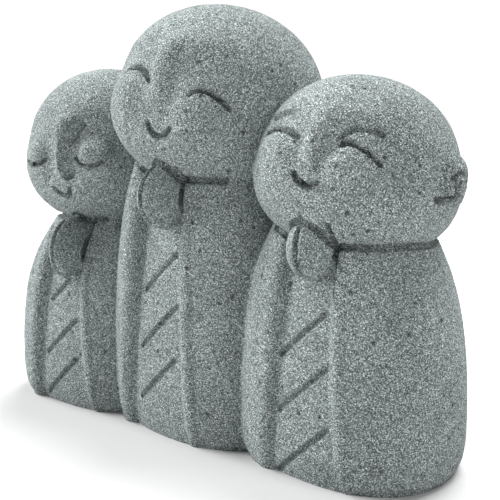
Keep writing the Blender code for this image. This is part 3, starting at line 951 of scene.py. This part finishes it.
def fine_grey_stone():
    """Cast stone powder: pale and dark grains, soft patches, small lumps, sparse pits and painted shade in
    carved lines.
    """
    material = bpy.data.materials.new("fine grey stone")
    material.use_nodes = True
    tree = material.node_tree
    shader = tree.nodes["Principled BSDF"]
    shader.inputs["Roughness"].default_value = STONE_ROUGHNESS
    shader.inputs["Specular IOR Level"].default_value = STONE_GLOSS
    where = tree.nodes.new("ShaderNodeTexCoord")
    _, grain = cells(tree, where, GRAIN_SCALE)
    ramp = grain_ramp(tree)
    link(tree, grain, "Red", ramp, "Fac")
    mottle = noise(tree, where, PATCH_SCALE, PATCH_DETAIL)
    patches = step_between(tree, mottle, 0, PATCH_RANGE, PATCH_SHADES)
    # Sparse pits, pressed in by a bump and painted darker as painted shade in their hollows
    spots, spot = cells(tree, where, PIT_SCALE)
    inside = step_between(tree, spots, "Distance", PIT_RIM, (1.0, 0.0))
    rare = step_between(tree, spot, "Red", PIT_RARITY, (0.0, 1.0))
    pits = multiplied(tree, inside, rare)
    shade = multiplied(tree, patches, step_between(tree, pits, 0, (0.0, 1.0), (1.0, PIT_SHADE)))
    # Painted shade in the carved lines: the colour is darkened near them, following the marks on the skin
    carved = tree.nodes.new("ShaderNodeAttribute")
    carved.attribute_name = "carved"
    painted_groove_shade = step_between(tree, carved, "Fac", (0.0, 1.0), (1.0, PAINTED_GROOVE_SHADE))
    shade = multiplied(tree, shade, painted_groove_shade)
    tone = tree.nodes.new("ShaderNodeVectorMath")
    tone.operation = "SCALE"
    link(tree, ramp, "Color", tone, 0)
    link(tree, shade, 0, tone, "Scale")
    link(tree, tone, 0, shader, "Base Color")
    bump = bumped(tree, noise(tree, where, LUMP_SCALE, LUMP_DETAIL), 0, LUMP_HEIGHT)
    bump = bumped(tree, grain, "Green", GRAIN_HEIGHT, bump)
    hollow = step_between(tree, pits, 0, (0.0, 1.0), (1.0, 0.0))
    bump = bumped(tree, hollow, 0, PIT_DEPTH, bump)
    link(tree, bump, "Normal", shader, "Normal")
    return material


def pale_floor():
    deselect_all()
    bpy.ops.mesh.primitive_plane_add(size=FLOOR_SIZE)
    floor = bpy.context.object
    floor.name = "floor"
    material = bpy.data.materials.new("pale floor")
    material.use_nodes = True
    shader = material.node_tree.nodes["Principled BSDF"]
    shader.inputs["Base Color"].default_value = (FLOOR_SHADE, FLOOR_SHADE, FLOOR_SHADE, 1.0)
    shader.inputs["Roughness"].default_value = FLOOR_ROUGHNESS
    floor.data.materials.append(material)


def direction_to(azimuth, elevation):
    """A direction from the block. Azimuth runs from straight ahead of it towards its right."""
    level = math.cos(elevation)
    return Vector((math.sin(azimuth) * level, -math.cos(azimuth) * level, math.sin(elevation)))


def aimed(place, direction, axis):
    """A lamp's or a camera's place, with one of its axes along a direction."""
    return Matrix.Translation(place) @ direction.to_track_quat(axis, "Y").to_matrix().to_4x4()


def soft_light(name, azimuth, elevation, strength):
    """A broad far-off light."""
    data = bpy.data.lights.new(name, "SUN")
    data.angle = LIGHT_SPREAD
    data.energy = strength
    lamp = bpy.data.objects.new(name, data)
    towards = direction_to(math.radians(azimuth), math.radians(elevation))
    lamp.matrix_world = aimed(towards, towards, "Z")
    bpy.context.scene.collection.objects.link(lamp)


def light_studio():
    """Broad soft lights, and a white surround that only the camera sees in full."""
    world = bpy.data.worlds.new("white studio")
    world.use_nodes = True
    tree = world.node_tree
    surround = tree.nodes["Background"]
    surround.inputs["Color"].default_value = (1.0, 1.0, 1.0, 1.0)
    ray = tree.nodes.new("ShaderNodeLightPath")
    seen = tree.nodes.new("ShaderNodeMapRange")
    seen.inputs["To Min"].default_value = SURROUND_LIGHT
    seen.inputs["To Max"].default_value = SURROUND_SEEN
    link(tree, ray, "Is Camera Ray", seen, "Value")
    link(tree, seen, "Result", surround, "Strength")
    bpy.context.scene.world = world
    for name, settings in LIGHTS.items():
        soft_light(name, *settings)
    bpy.context.scene.view_settings.view_transform = "Standard"


def place_camera():
    data = bpy.data.cameras.new("camera")
    data.sensor_width = CAMERA_SENSOR
    data.lens = CAMERA_LENS
    camera = bpy.data.objects.new("camera", data)
    place = RIGHT["place"] + CAMERA_OFFSET * RIGHT["height"]
    camera.matrix_world = aimed(place, -direction_to(CAMERA_TURN, CAMERA_DIP), "-Z")
    bpy.context.scene.collection.objects.link(camera)
    bpy.context.scene.camera = camera


def model_block():
    forms = []
    for figure in FIGURES:
        forms += model_figure(figure)
    block = cast_as_one(forms)
    lines = carve_lines(block)
    roughen(block)
    thin_out(block, lines)
    cut_underside(block)
    bpy.ops.object.shade_smooth()
    block.data.materials.append(fine_grey_stone())
    return block


stand_figures()
block = model_block()
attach(block, "root")
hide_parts("jizo_group")
pale_floor()
light_studio()
place_camera()
